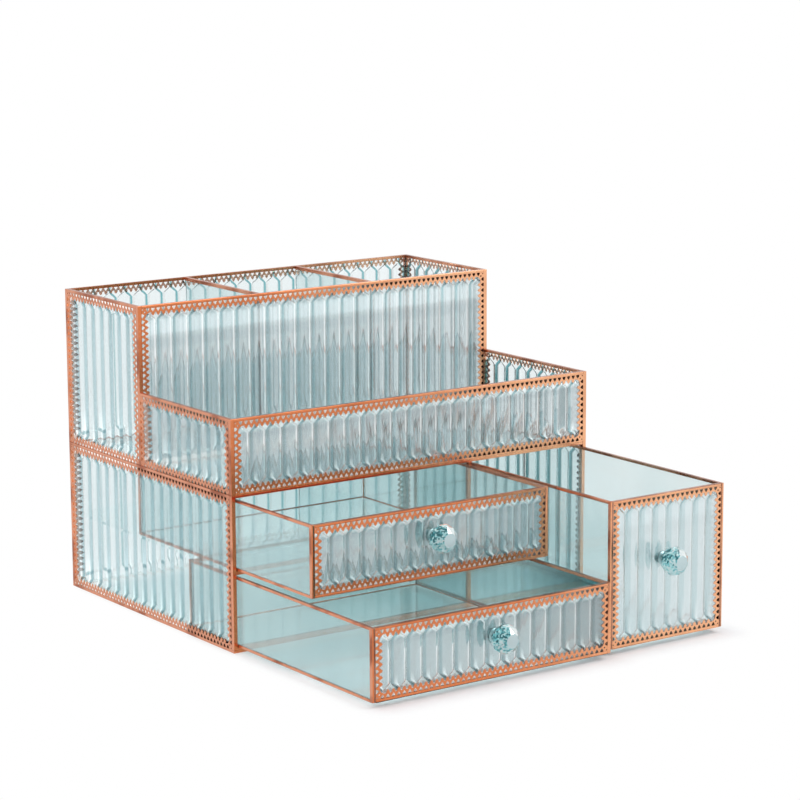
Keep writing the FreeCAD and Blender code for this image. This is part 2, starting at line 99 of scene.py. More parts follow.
class Wire:
    """One node output.  Sums on it add Math nodes to the same tree."""

    def __init__(self, tree, socket=None):
        self.tree = tree
        self.socket = socket

    def node(self, kind, settings=None, sockets=None, output=0):
        made = self.tree.nodes.new(kind)
        for name, value in (settings or {}).items():
            if name == "stops":
                set_stops(made.color_ramp, value)
            else:
                setattr(made, name, value)
        for key, value in (sockets or {}).items():
            if isinstance(value, Wire):
                self.tree.links.new(value.socket, made.inputs[key])
            else:
                made.inputs[key].default_value = value
        return Wire(self.tree, made.outputs[output])

    def maths(self, operation, first, second=0.0):
        return self.node("ShaderNodeMath", {"operation": operation}, {0: first, 1: second})

    def __add__(self, other):
        return self.maths("ADD", self, other)

    def __sub__(self, other):
        return self.maths("SUBTRACT", self, other)

    def __rsub__(self, other):
        return self.maths("SUBTRACT", other, self)

    def __mul__(self, other):
        return self.maths("MULTIPLY", self, other)

    __radd__ = __add__
    __rmul__ = __mul__

    def clamped(self):
        return self.node("ShaderNodeClamp", None, {"Value": self})

    def part(self, letter):
        """The X, Y or Z of a vector."""
        return self.node("ShaderNodeSeparateXYZ", None, {0: self}, output=letter)

    def step(self, low, high):
        """0 below low and 1 above high, smooth between."""
        settings = {"interpolation_type": "SMOOTHSTEP"}
        return self.node("ShaderNodeMapRange", settings, {"Value": self, "From Min": low, "From Max": high})

    def between(self, rise, fall):
        """1 from the end of the first span to the start of the second, and 0 outside both."""
        return self.step(*rise) * (1 - self.step(*fall))

    def blend(self, first, second):
        """first where this mask is 0 and second where it is 1, as colours."""
        sockets = {0: self, 6: first, 7: second}
        return self.node("ShaderNodeMix", {"data_type": "RGBA"}, sockets, output=2)


def set_stops(ramp, stops):
    while len(ramp.elements) > 1:
        ramp.elements.remove(ramp.elements[-1])
    ramp.elements[0].position, ramp.elements[0].color = stops[0]
    for place, colour in stops[1:]:
        ramp.elements.new(place).color = colour


def coordinates(start, kind="Object"):
    return start.node("ShaderNodeTexCoord", output=kind)


def noise(start, vector, scale, detail):
    sockets = {"Vector": vector, "Scale": scale, "Detail": detail}
    return start.node("ShaderNodeTexNoise", None, sockets)


def new_finish(name):
    """An empty material, and a wire to start its nodes from."""
    material = bpy.data.materials.new(name)
    material.use_nodes = True
    material.node_tree.nodes.clear()
    return material, Wire(material.node_tree)


def finish_with(start, shader, kind="ShaderNodeOutputMaterial"):
    output = start.tree.nodes.new(kind)
    start.tree.links.new(shader.socket, output.inputs["Surface"])


print("a wire can", [name for name in vars(Wire) if not name.startswith("__")])

# %% [markdown]
# ## Rose-coloured plating
# Rails, posts and trim are brass strip with a thin rose-coloured plating.  Light and shade are
# painted into it by the way each face looks: front faces get a painted light that runs from orange
# at the left to paler salmon at the right, and faces that lie upwards get a painted deep red shade.
# Random deep clouds, fewer on front faces, are painted shade in the reflections and also roughen the
# metal, and handling leaves fine scratches.  Everything is read from object coordinates, so it keeps
# its real scale.
#
# Three details follow the joints.  A painted reflection, a deep red band, runs under the deck on
# the front faces, most at the left, and a painted shadow, a dark line, runs just above the deck on
# the side faces.  The front and top of the rear rail of the base are painted near white, like the
# bright room behind it, so that it hardly shows through the glass before it.

# %% Plated metal
SIDE_TONE = (0.70, 0.305, 0.185, 1.0)
LEFT_TONE = (0.68, 0.215, 0.085, 1.0)
RIGHT_TONE = (0.90, 0.465, 0.26, 1.0)
DECK_REFLECTION_TONE = (0.60, 0.05, 0.01, 1.0)
DEEP_TONE = (0.26, 0.055, 0.020, 1.0)
PALE_TONE = (0.94, 0.60, 0.44, 1.0)
WHITE_RAIL_TONE = (0.93, 0.96, 0.96, 1.0)
FACES_FRONT = (0.55, 0.85)
FACES_UP = (0.60, 0.90)
ORANGE_TO_SALMON = (-0.06, 0.11)
DECK_REFLECTION_FADES = (-0.05, 0.10)
CLOUD_SCALE = 42.0
CLOUD_SPAN = (0.46, 0.66)
GRAIN_SCALE = 900.0
GRAIN_SPAN = (0.55, 0.80)
SCRATCH_DEPTH = 0.04 * MM
BLUR = 0.2 * MM
JOINT_SHADOW_HEIGHT = 0.6 * MM
DECK_REFLECTION_DEPTH = 2.4 * MM
DECK_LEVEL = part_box("deck_glass")[1].z
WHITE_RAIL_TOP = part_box("base_frame")[1].z + BLUR
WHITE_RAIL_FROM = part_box("base_frame")[1].y - 6 * MM


def rose_plating(name, roughness, cloud_share):
    material, start = new_finish(name)
    place = coordinates(start)
    normal = coordinates(start, "Normal")
    east = place.part("X")
    rise = place.part("Z") - DECK_LEVEL
    front = (normal.part("Y") * -1).step(*FACES_FRONT)
    upward = normal.part("Z").step(*FACES_UP)
    cloud = noise(start, place, CLOUD_SCALE, 3.0)
    grain = noise(start, place, GRAIN_SCALE, 2.0)
    # Painted light: front faces run from orange at the left to paler salmon at the right, and side faces
    # keep their own tone.
    front_painted_light = east.step(*ORANGE_TO_SALMON).blend(LEFT_TONE, RIGHT_TONE)
    tone = front.blend(SIDE_TONE, front_painted_light)
    # Painted shade: faces that lie upwards turn deep red.
    tone = (upward * 0.55).blend(tone, DEEP_TONE)
    # Painted shade in the reflections: random deep clouds, fewer on front faces.
    shade = cloud.step(*CLOUD_SPAN) * (1 - front * 0.75) * cloud_share
    tone = shade.blend(tone, DEEP_TONE)
    tone = (grain.step(*GRAIN_SPAN) * 0.30).blend(tone, PALE_TONE)
    # Painted reflection: a deep red band under the deck on front faces, fading towards the right.
    deck_reflection = rise.between((-DECK_REFLECTION_DEPTH, BLUR - DECK_REFLECTION_DEPTH), (-BLUR, 0.0)) * front
    tone = (deck_reflection * (1 - east.step(*DECK_REFLECTION_FADES)) * 0.8).blend(tone, DECK_REFLECTION_TONE)
    # Painted shadow: a dark line just above the deck on faces that do not look to the front.
    joint_shadow = rise.between((-BLUR / 2, BLUR / 2), (JOINT_SHADOW_HEIGHT, JOINT_SHADOW_HEIGHT + BLUR)) * (1 - front)
    tone = (joint_shadow * 0.85).blend(tone, DEEP_TONE)
    # The rear rail's front and top are painted near white, like the bright room behind it.
    at_foot = 1 - place.part("Z").step(WHITE_RAIL_TOP, WHITE_RAIL_TOP + BLUR)
    white_rail = at_foot * place.part("Y").step(WHITE_RAIL_FROM, WHITE_RAIL_FROM + BLUR)
    tone = (white_rail * (front + upward).clamped() * 0.9).blend(tone, WHITE_RAIL_TONE)
    scratches = {"Strength": 0.35, "Distance": SCRATCH_DEPTH, "Height": grain}
    shader = start.node("ShaderNodeBsdfPrincipled", None, {
        "Base Color": tone,
        "Metallic": 0.95,
        "Roughness": cloud * 0.16 + roughness,
        "Normal": start.node("ShaderNodeBump", None, scratches),
    })
    finish_with(start, shader)
    return material


rail_metal = rose_plating("rose_metal", 0.16, 0.75)
lace_metal = rose_plating("lace_metal", 0.24, 0.25)
print("rose plating:", rail_metal.name, lace_metal.name)

# %% [markdown]
# ## Nickel
# The knob mounts and their screws are turned and nickel plated.  They are small and are seen mostly
# through crystal, so a plain metal with dull clouds is enough.  It is painted a deep teal, a painted
# shade, so that the rim of a mount beside its crystal reads as teal shade.

# %% Nickel plating
# Painted shade: the nickel is a deep teal, with darker clouds.
NICKEL_TONE = (0.34, 0.50, 0.52, 1.0)
NICKEL_DULL = (0.18, 0.32, 0.34, 1.0)
NICKEL_CLOUD_SCALE = 300.0


def nickel_plating():
    material, start = new_finish("nickel_metal")
    cloud = noise(start, coordinates(start), NICKEL_CLOUD_SCALE, 2.0)
    shader = start.node("ShaderNodeBsdfPrincipled", None, {
        "Base Color": cloud.step(0.4, 0.7).blend(NICKEL_TONE, NICKEL_DULL),
        "Metallic": 0.95,
        "Roughness": cloud * 0.10 + 0.30,
    })
    finish_with(start, shader)
    return material


nickel_metal = nickel_plating()
print("nickel:", nickel_metal.name)

# %% [markdown]
# ## Tinted glass
# The panes are pale aqua glass a millimetre or two thick.  Each face bends what lies behind it and
# tints it a little, so panes that lie one behind another deepen to teal.  A coat adds the bright
# reflection of polished glass.  Light from the lamps passes straight through to the other side,
# which keeps the drawers bright inside.

# %% Glass shader
LAMP_TINT = (0.93, 0.98, 0.98, 1.0)
COAT_ROUGHNESS = 0.02


def glass(start, tint, settings):
    """Tinted glass that lets lamps through.  settings are sockets of its Principled node."""
    sockets = {"Base Color": tint, "Coat Roughness": COAT_ROUGHNESS}
    sockets.update(settings)
    body = start.node("ShaderNodeBsdfPrincipled", None, sockets)
    through = start.node("ShaderNodeBsdfTransparent", None, {"Color": LAMP_TINT})
    lamp = start.node("ShaderNodeLightPath", output="Is Shadow Ray")
    return start.node("ShaderNodeMixShader", None, {0: lamp, 1: body, 2: through})


print("lamp light passes the glass tinted", LAMP_TINT[:3])

# %% [markdown]
# ## Plain sheet glass
# The drawers' sides and floors, the deck and the dividers are drawn sheet, a little cloudy and
# smeared by fingers.  The shelf and the cabinet's floor are clear, so that the drawers above them
# keep their own colour.  The lower drawer's right pane stands close to the tall drawer, and a
# painted shade deepens it to dark teal towards its front end.

# %% Sheet glass finishes
PLAIN_TINT = (0.84, 0.925, 0.93, 1.0)
PLAIN_CLOUD = (0.78, 0.89, 0.90, 1.0)
SHELF_TINT = (0.95, 0.985, 0.985, 1.0)
PAINTED_SHADE_TINT = (0.08, 0.28, 0.30, 1.0)
SHADED_PANE = "lower_drawer_right_glass"
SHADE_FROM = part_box(SHADED_PANE)[0].y
SHADE_LENGTH = 110 * MM
WAVE_SCALE = 14.0
SMEAR_SCALE = 90.0
SHEET_IOR = 1.45
CLEAR_IOR = 1.01


def plain_glass(name, tint, clouded, ior, clearness, depth=0.0):
    material, start = new_finish(name)
    place = coordinates(start)
    wave = noise(start, place, WAVE_SCALE, 1.0)
    smear = noise(start, place, SMEAR_SCALE, 4.0)
    # Painted shade: the pane turns dark teal towards its front end.
    deep = (1 - place.part("Y").step(SHADE_FROM, SHADE_FROM + SHADE_LENGTH)) * depth
    colour = deep.blend(wave.step(0.3, 0.7).blend(tint, clouded), PAINTED_SHADE_TINT)
    settings = {
        "Roughness": smear.step(0.45, 0.85) * 0.05 + 0.01,
        "IOR": ior,
        "Transmission Weight": clearness,
    }
    finish_with(start, glass(start, colour, settings))
    return material


plain_pane = plain_glass("plain_glass", PLAIN_TINT, PLAIN_CLOUD, SHEET_IOR, 0.90)
shelf_pane = plain_glass("shelf_glass", SHELF_TINT, SHELF_TINT, CLEAR_IOR, 0.98)
shaded_pane = plain_glass("shaded_glass", PLAIN_TINT, PLAIN_CLOUD, SHEET_IOR, 0.90, 1.0)
print("plain panes:", plain_pane.name, shelf_pane.name, shaded_pane.name)

# %% [markdown]
# ## Fluted glass
# The fluted panes are moulded.  Each flute is a long prism with a flat crown, two bevels and a
# pointed arch at each end.  Light and shade are painted on it by the flute's own map: u runs from
# the near bevel to the far one, and v rises from the foot of the flute to its top, moving only near
# the two ends.  The near bevel gets a painted shade, a deeper teal, and the far one a painted
# highlight, with a little metal that sends the white room back.  From this map also come the painted
# dark outline round each end, the painted bright wedge at the foot, and the painted bright cap and
# darker painted brow at the head; the wedge and the cap also glow.
#
# A second map gives the distance from the pane's edges.  The strip along them lies behind the
# trim, and through its pierced holes it shows painted light or painted shade: a glow for lit glass
# or a dark tint for the shade of the rail.  Each pane's rim says in which direction the painted
# light turns to painted shade, and how the two look.  Close behind the front posts the painted
# shade is rose, a painted reflection of the posts.

# %% Maps of a flute
LAND_TINT = (0.93, 0.975, 0.98, 1.0)
OUTLINE_TINT = (0.03, 0.20, 0.24, 1.0)
BRIGHT_TINT = (0.98, 0.995, 0.995, 1.0)
FOOT_GLINT = (0.34, 0.38, 0.38, 1.0)
RIM_ROSE = (0.42, 0.06, 0.025, 1.0)
DARK = (0.0, 0.0, 0.0, 1.0)
TOP_SPAN = (0.62, 0.80)
FOOT_SPAN = (0.20, 0.38)
LAND_SPANS = ((-0.04, -0.01), (1.01, 1.04))
FAR_SPAN = (0.72, 0.80)
OUTLINE_SPAN = (0.08, 0.16)
WEDGE_SPANS = ((0.16, 0.22), (0.32, 0.40))
HEAD_SPANS = ((0.28, 0.38), (0.66, 0.76))
CAP_SPANS = ((0.81, 0.84), (0.91, 0.94))
BROW_SPANS = ((0.72, 0.75), (0.79, 0.81))
NEAR_BLUR = 0.06
RIPPLE_SCALE = 130.0
RIPPLE_DEPTH = 0.2 * MM

Rim = namedtuple("Rim", "width lit shade direction offset spread rose_until")
print("a rim says", Rim._fields)

# %% [markdown]
# The finish is one function, because all fluted panes differ only in their tints, in how bright
# their glints are and in what their rims show.

# %% Fluted finish


def rim_masks(start, place, rim):
    """Where the strip behind the trim lies, how far it is in painted shade, and where that is rose."""
    edges = start.node("ShaderNodeUVMap", {"uv_map": "rim"})
    inwards = start.maths("MINIMUM", edges.part("X"), edges.part("Y"))
    strip = 1 - inwards.step(rim.width - BLUR, rim.width + BLUR)
    sockets = {0: place, 1: rim.direction}
    reach = start.node("ShaderNodeVectorMath", {"operation": "DOT_PRODUCT"}, sockets, output="Value")
    shaded = (reach + rim.offset).step(-rim.spread, rim.spread)
    rosy = 1 - place.part("Y").step(rim.rose_until - BLUR, rim.rose_until + BLUR)
    return strip, shaded, rosy


def fluted_glass(name, crown, near, near_edge, glint, foot_glint, cap_glint, rim, settings):
    material, start = new_finish(name)
    flute_map = start.node("ShaderNodeUVMap", {"uv_map": "flute"})
    across = flute_map.part("X")
    along = flute_map.part("Y")
    place = coordinates(start)
    ripple = noise(start, place, RIPPLE_SCALE, 2.0)
    top = along.step(*TOP_SPAN)
    foot = 1 - along.step(*FOOT_SPAN)
    land = (1 - across.step(*LAND_SPANS[0]) + across.step(*LAND_SPANS[1])).clamped()
    nearby = 1 - across.step(near_edge - NEAR_BLUR, near_edge + NEAR_BLUR)
    far = across.step(*FAR_SPAN)
    outline = (1 - across.step(*OUTLINE_SPAN)) * (top + foot)
    wedge = across.between(*WEDGE_SPANS) * foot
    head = across.between(*HEAD_SPANS)
    cap = head * along.between(*CAP_SPANS)
    brow = head * along.between(*BROW_SPANS)
    strip, shaded, rosy = rim_masks(start, place, rim)
    # Painted shade: the near bevel turns a deeper teal, a dark outline rings the ends and a darker brow
    # lies under the cap.
    tint = nearby.blend(crown, near)
    tint = (outline * 0.8).blend(tint, OUTLINE_TINT)
    tint = (brow * cap_glint * 0.5).blend(tint, OUTLINE_TINT)
    # Painted highlights: the far bevel and the wedge at the foot turn bright.
    tint = (far + wedge).clamped().blend(tint, BRIGHT_TINT)
    tint = land.blend(tint, LAND_TINT)
    # Painted shade on the rim strip behind the trim, rose where it is a painted reflection of the posts.
    tint = (strip * shaded).blend(tint, rosy.blend(rim.shade, RIM_ROSE))
    # Painted glints that glow: the wedge at the foot and the cap at the head; below, the rim's lit glass
    # glows too.
    glow = (wedge * foot_glint + cap * cap_glint).blend(DARK, FOOT_GLINT)
    glow = strip.blend(glow, shaded.blend(rim.lit, DARK))
    # Painted highlight: a little metal on the far bevel sends the white room back.
    shine = far * glint * (1 - top) * (1 - land)
    ripples = {"Strength": 0.10, "Distance": RIPPLE_DEPTH, "Height": ripple}
    sockets = {
        "Metallic": shine.clamped(),
        "Roughness": ripple * 0.03 + 0.015,
        "Coat Weight": 1 - strip * shaded * 0.8,
        "Emission Color": glow,
        "Emission Strength": 1.0,
        "Normal": start.node("ShaderNodeBump", None, ripples),
    }
    sockets.update(settings)
    finish_with(start, glass(start, tint, sockets))
    return material


print("maps read: flute and rim")

# %% [markdown]
# The panes of the sides are clear and bright.  The front panes are duller and tinted a darker grey,
# and the tall drawer's is the mildest of them.  The right and back panes are seen through the others,
# where only the painted shade lines of their near bevels tell, and their rims need no painted shade
# of their own.

# %% Finish of each fluted pane
SIDE_CROWN = (0.90, 0.955, 0.965, 1.0)
SIDE_NEAR = (0.35, 0.52, 0.57, 1.0)
FRONT_CROWN = (0.64, 0.71, 0.73, 1.0)
FRONT_NEAR = (0.24, 0.42, 0.46, 1.0)
TALL_CROWN = (0.80, 0.86, 0.88, 1.0)
TALL_NEAR = (0.50, 0.66, 0.69, 1.0)
# Painted shade lines on the near bevels of the right and back panes.
RIGHT_NEAR = (0.0, 0.03, 0.036, 1.0)
BACK_NEAR = (0.04, 0.28, 0.32, 1.0)
# Rims: the glow of painted light on lit glass, and the painted shade of the rail.
SIDE_LIT = (0.52, 0.45, 0.41, 1.0)
SIDE_SHADE = (0.02, 0.004, 0.003, 1.0)
UPPER_SHADE = (0.20, 0.11, 0.07, 1.0)
FRONT_LIT = (0.26, 0.21, 0.185, 1.0)
FRONT_SHADE = (0.012, 0.004, 0.002, 1.0)
TALL_SHADE = (0.06, 0.035, 0.02, 1.0)
FACING_FRONT = (0.0, -1.0, 0.0)
FRONT_AND_UP = (0.0, -1.0, 0.64)
RIGHTWARDS = (1.0, 0.0, 0.0)
NEVER = -1.0
SIDE_STRIP = 3.6 * MM
FRONT_STRIP = 2.9 * MM
POST_SHADE_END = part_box("cabinet_left_glass")[0].y + 4.6 * MM
SIDE_RIM = Rim(SIDE_STRIP, SIDE_LIT, SIDE_SHADE, FRONT_AND_UP, -0.049, 0.004, POST_SHADE_END)
UPPER_RIM = Rim(SIDE_STRIP, SIDE_LIT, UPPER_SHADE, FACING_FRONT, 0.0, 0.03, POST_SHADE_END)
FRONT_RIM = Rim(FRONT_STRIP, FRONT_LIT, FRONT_SHADE, RIGHTWARDS, -0.015, 0.045, NEVER)
TALL_RIM = Rim(FRONT_STRIP, FRONT_LIT, TALL_SHADE, RIGHTWARDS, -0.015, 0.045, NEVER)
NO_RIM = Rim(0.0, DARK, DARK, (0.0, 0.0, 0.0), -1.0, 0.5, NEVER)
SIDE_GLASS = {"IOR": 1.06, "Coat IOR": 1.8, "Transmission Weight": 0.96}
FRONT_GLASS = {"IOR": 1.40, "Coat IOR": 2.4, "Transmission Weight": 0.92, "Roughness": 0.06}
TALL_GLASS = {"IOR": 1.30, "Coat IOR": 2.4, "Transmission Weight": 0.92, "Roughness": 0.16}
FAR_GLASS = {"IOR": 1.12, "Coat IOR": 1.5, "Transmission Weight": 0.96}

side_flutes = fluted_glass(
    "side_flutes", SIDE_CROWN, SIDE_NEAR, near_edge=0.22, glint=0.55,
    foot_glint=1.0, cap_glint=0.0, rim=SIDE_RIM, settings=SIDE_GLASS)
upper_flutes = fluted_glass(
    "upper_flutes", SIDE_CROWN, SIDE_NEAR, near_edge=0.22, glint=0.55,
    foot_glint=1.0, cap_glint=0.0, rim=UPPER_RIM, settings=SIDE_GLASS)
front_flutes = fluted_glass(
    "front_flutes", FRONT_CROWN, FRONT_NEAR, near_edge=0.16, glint=0.45,
    foot_glint=0.8, cap_glint=0.8, rim=FRONT_RIM, settings=FRONT_GLASS)
tall_flutes = fluted_glass(
    "tall_flutes", TALL_CROWN, TALL_NEAR, near_edge=0.30, glint=0.15,
    foot_glint=0.15, cap_glint=0.2, rim=TALL_RIM, settings=TALL_GLASS)
right_flutes = fluted_glass(
    "right_flutes", SIDE_CROWN, RIGHT_NEAR, near_edge=0.22, glint=0.30,
    foot_glint=1.0, cap_glint=0.0, rim=NO_RIM, settings=FAR_GLASS)
back_flutes = fluted_glass(
    "back_flutes", SIDE_CROWN, BACK_NEAR, near_edge=0.13, glint=0.20,
    foot_glint=1.0, cap_glint=0.0, rim=NO_RIM, settings=FAR_GLASS)
flute_finishes = (side_flutes, upper_flutes, front_flutes, tall_flutes, right_flutes, back_flutes)
print("fluted glass:", [finish.name for finish in flute_finishes])

# %% [markdown]
# ## Cut crystal
# The knobs are cut crystal.  Light and shade are painted on its facets as painted reflections: a
# facet is painted either the bright room or the deep colour of the far side.  All points of a flat
# facet share one normal, so noise read at the normal gives every facet one tone of its own, and small
# cells add painted sparks of facets behind it.  Facets that look up to the left get a painted deep
# shade and those that look up to the right a painted highlight.  The table, a cool pale disc and a
# painted reflection, is found by its distance from the axis of the nearest crystal.

# %% Crystal finish
CRYSTAL_WHITE = (0.98, 1.0, 1.0, 1.0)
CRYSTAL_PALE = (0.62, 0.93, 0.94, 1.0)
CRYSTAL_MID = (0.16, 0.56, 0.60, 1.0)
CRYSTAL_DEEP = (0.004, 0.10, 0.12, 1.0)
CRYSTAL_TABLE = (0.78, 0.86, 0.88, 1.0)
CRYSTAL_STOPS = ((0.24, CRYSTAL_DEEP), (0.40, CRYSTAL_MID), (0.54, CRYSTAL_PALE), (0.70, CRYSTAL_WHITE))
CRYSTAL_NODES = [node for node in nodes if node.endswith("_crystal")]
TABLE_RADIUS = 0.23 * (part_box(CRYSTAL_NODES[0])[1].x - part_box(CRYSTAL_NODES[0])[0].x)
FACET_SCALE = 7.1
SPARK_SCALE = 820.0


def nearest_axis(start, place):
    """How far a point lies from the axis of the nearest crystal."""
    nearest = 1.0
    for node in CRYSTAL_NODES:
        low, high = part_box(node)
        middle = (low + high) / 2
        aside = place.part("X") - middle.x
        above = place.part("Z") - middle.z
        radius = start.maths("SQRT", aside * aside + above * above)
        nearest = start.maths("MINIMUM", nearest, radius)
    return nearest


def crystal_glass():
    material, start = new_finish("cut_crystal")
    normal = coordinates(start, "Normal")
    rightward = normal.part("X")
    outward = normal.part("Y") * -1
    upward = normal.part("Z")
    place = coordinates(start)
    facet = noise(start, normal, FACET_SCALE, 1.0)
    cells = {"Vector": place, "Scale": SPARK_SCALE}
    spark = start.node("ShaderNodeTexVoronoi", None, cells, output="Color").part("X")
    # Painted tones of the facets: painted sparks, painted deep shade up to the left, painted highlight up
    # to the right.
    upper_left = (upward - rightward).step(0.55, 1.15)
    upper_right = (upward + rightward).step(0.45, 0.75) * outward.step(0.0, 0.3)
    level = facet * 0.35 + spark * 0.50 + 0.15 - upper_left * 0.26 + upper_right * 0.40
    tint = start.node("ShaderNodeValToRGB", {"stops": CRYSTAL_STOPS}, {0: level})
    inside = 1 - nearest_axis(start, place).step(TABLE_RADIUS - BLUR, TABLE_RADIUS + BLUR)
    # Painted reflection: the table is a cool pale disc.
    table = outward.step(0.96, 0.99) * inside
    settings = {
        "Metallic": (upper_right * 0.5 * (1 - table) + table * 0.15).clamped(),
        "Roughness": 0.01,
        "IOR": 1.35,
        "Transmission Weight": 0.55,
        "Coat Weight": 0.25,
    }
    finish_with(start, glass(start, table.blend(tint, CRYSTAL_TABLE), settings))
    return material


crystal = crystal_glass()
print(f"{crystal.name}: {len(CRYSTAL_NODES)} knobs, table radius {TABLE_RADIUS / MM:.1f} mm")

# %% [markdown]
# ## Geometry Nodes helpers
# What repeats is made by Geometry Nodes.  Each tree has named inputs, ends in Realize Instances and
# Set Material, and is turned into a plain mesh straight away, so that nothing live is left on a piece.

# %% Tree and mesh helpers
WELD = 0.01 * MM


class Tree:
    """A geometry node tree with named inputs."""

    def __init__(self, name, inputs):
        self.group = bpy.data.node_groups.new(name, "GeometryNodeTree")
        self.group.interface.new_socket("Geometry", in_out="OUTPUT", socket_type="NodeSocketGeometry")
        for label, kind in inputs.items():
            self.group.interface.new_socket(label, in_out="INPUT", socket_type=kind)
        self.inlet = self.group.nodes.new("NodeGroupInput")
        self.outlet = self.group.nodes.new("NodeGroupOutput")

    def add(self, kind, settings=None, sockets=None, output=0):
        made = self.group.nodes.new(kind)
        for name, value in (settings or {}).items():
            setattr(made, name, value)
        for key, value in (sockets or {}).items():
            if isinstance(value, bpy.types.NodeSocket):
                self.group.links.new(value, made.inputs[key])
            else:
                made.inputs[key].default_value = value
        return made.outputs[output]

    def sums(self, operation, first, second):
        return self.add("ShaderNodeMath", {"operation": operation}, {0: first, 1: second})

    def vector(self, x=0.0, y=0.0, z=0.0):
        return self.add("ShaderNodeCombineXYZ", None, {0: x, 1: y, 2: z})

    def joined(self, parts):
        join = self.group.nodes.new("GeometryNodeJoinGeometry")
        for part in reversed(parts):
            self.group.links.new(part, join.inputs[0])
        return join.outputs[0]

    def close(self, geometry, finish):
        real = self.add("GeometryNodeRealizeInstances", None, {0: geometry})
        welded = self.add("GeometryNodeMergeByDistance", None, {"Geometry": real, "Distance": WELD})
        painted = self.add("GeometryNodeSetMaterial", None, {"Geometry": welded, "Material": finish})
        self.group.links.new(painted, self.outlet.inputs[0])


def new_object(name, mesh):
    made = bpy.data.objects.new(name, mesh)
    bpy.context.scene.collection.objects.link(made)
    return made


def plain_mesh(piece):
    """The piece's mesh with its modifiers applied, and the modifiers removed."""
    evaluated = piece.evaluated_get(bpy.context.evaluated_depsgraph_get())
    mesh = bpy.data.meshes.new_from_object(evaluated)
    piece.modifiers.clear()
    return mesh


def grown(name, seed_mesh, tree, values):
    """The plain mesh that a tree grows from a seed mesh, with the tree's inputs set by identifier."""
    piece = new_object(name, seed_mesh)
    modifier = piece.modifiers.new(tree.group.name, "NODES")
    modifier.node_group = tree.group
    for item in tree.group.interface.items_tree:
        if item.in_out == "INPUT" and item.name in values:
            modifier[item.identifier] = values[item.name]
    mesh = plain_mesh(piece)
    bpy.data.objects.remove(piece)
    return mesh


def mesh_from(name, make):
    """A mesh filled by a function that works on a bmesh."""
    shape = bmesh.new()
    make(shape)
    mesh = bpy.data.meshes.new(name)
    shape.to_mesh(mesh)
    shape.free()
    return mesh


def settle(name, mesh, node_names, material=None):
    """Makes the mesh a piece that rides on its nodes' body and stands for them."""
    piece = new_object(name, mesh)
    if material is not None:
        mesh.materials.clear()
        mesh.materials.append(material)
    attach(piece, body_of_node[node_names[0]])
    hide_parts(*node_names)
    return piece


print("helpers ready for trees, plain meshes and pieces")

# %% [markdown]
# ## Slim rails
# Rails are filed back where they meet a fluted pane, which leaves more room for the pierced trim.
# Each body keeps a table of such levels: all that ends at one of them, metal and glass alike, moves
# by the same small amount, so the joins stay closed.  A copy is moved, because the loaded frame
# itself has to stay as it came.

# %% Levels
RAIL_TRIM = 0.7 * MM
FOOT_TRIM = 1.4 * MM
SAME_LEVEL = 0.02 * MM
CABINET_PANES = ("cabinet_left_glass", "cabinet_right_glass", "cabinet_back_glass")


def is_fluted(node):
    upper = node.startswith(("tray", "box"))
    return node.endswith("_glass") and (upper or "front" in node or node in CABINET_PANES)


pane_nodes = sorted(node for node in nodes if is_fluted(node))
moves = {body: [] for body in bodies}
moves["cabinet"].append((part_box("deck_glass")[0].z, RAIL_TRIM))
for node in pane_nodes:
    low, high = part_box(node)
    table = moves[body_of_node[node]]
    if abs(low.z - DECK_LEVEL) > SAME_LEVEL:
        table.append((low.z, -FOOT_TRIM if node == "tray_front_glass" else -RAIL_TRIM))
    table.append((high.z, RAIL_TRIM))
for node in nodes:
    if node.endswith("drawer_floor_glass"):
        moves[body_of_node[node]].append((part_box(node)[1].z, -RAIL_TRIM))


def moved_level(node, level):
    """The level that a height of this node's body moves to."""
    for known, move in moves[body_of_node[node]]:
        if abs(level - known) < SAME_LEVEL:
            return level + move
    return level


def slimmed_copy(node):
    mesh = nodes[node].data.copy()
    for vertex in mesh.vertices:
        vertex.co.z = moved_level(node, vertex.co.z)
    return mesh


print({body: len(table) for body, table in moves.items()}, "levels")

# %% [markdown]
# ## Places of the panes
# Each pane stands in a wall that faces left, right, back or front.  Its own frame has x across the
# face as seen from outside, y into the wall and z up, and starts on the trim's outer plane.

# %% Pane places
LACE_GAUGE = 0.4 * MM
OUTWARD = {
    "left": Vector((-1, 0, 0)),
    "right": Vector((1, 0, 0)),
    "back": Vector((0, 1, 0)),
    "front": Vector((0, -1, 0)),
}
UP = Vector((0, 0, 1))


class Pane:
    """The place and the sizes of one fluted pane, read from the frame."""

    def __init__(self, node):
        self.node = node
        side = node.split("_")[-2]
        self.mirrored = side in ("left", "right")
        if side == "front":
            self.finish = tall_flutes if node.startswith("tall") else front_flutes
        elif side == "left":
            self.finish = side_flutes if node.startswith("cabinet") else upper_flutes
        else:
            self.finish = right_flutes if side == "right" else back_flutes
        outward = OUTWARD[side]
        across = UP.cross(outward)
        low, high = (corner.copy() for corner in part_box(node))
        low.z, high.z = moved_level(node, low.z), moved_level(node, high.z)
        middle = (low + high) / 2
        span = high - low
        self.width = abs(span.dot(across))
        self.height = span.z
        self.depth = abs(span.dot(outward)) + LACE_GAUGE
        corner = middle - across * self.width / 2 - UP * self.height / 2
        corner += outward * (abs(span.dot(outward)) / 2 + LACE_GAUGE)
        turn = Matrix((across, -outward, UP)).transposed().to_4x4()
        self.place = Matrix.Translation(corner) @ turn


panes = {node: Pane(node) for node in pane_nodes}
print(len(panes), "fluted panes")

# %% [markdown]
# ## Fluted panes
# One flute is modelled as a small grid whose columns follow the flute's outline, so the arches at
# its ends stay crisp with few faces.  Every point carries the flute's own map, which is turned over
# on the side panes, because their painted shade lies on the other bevel.  Towards its ends a flute
# gets narrower and lower, and between two flutes a narrow flat land is left.

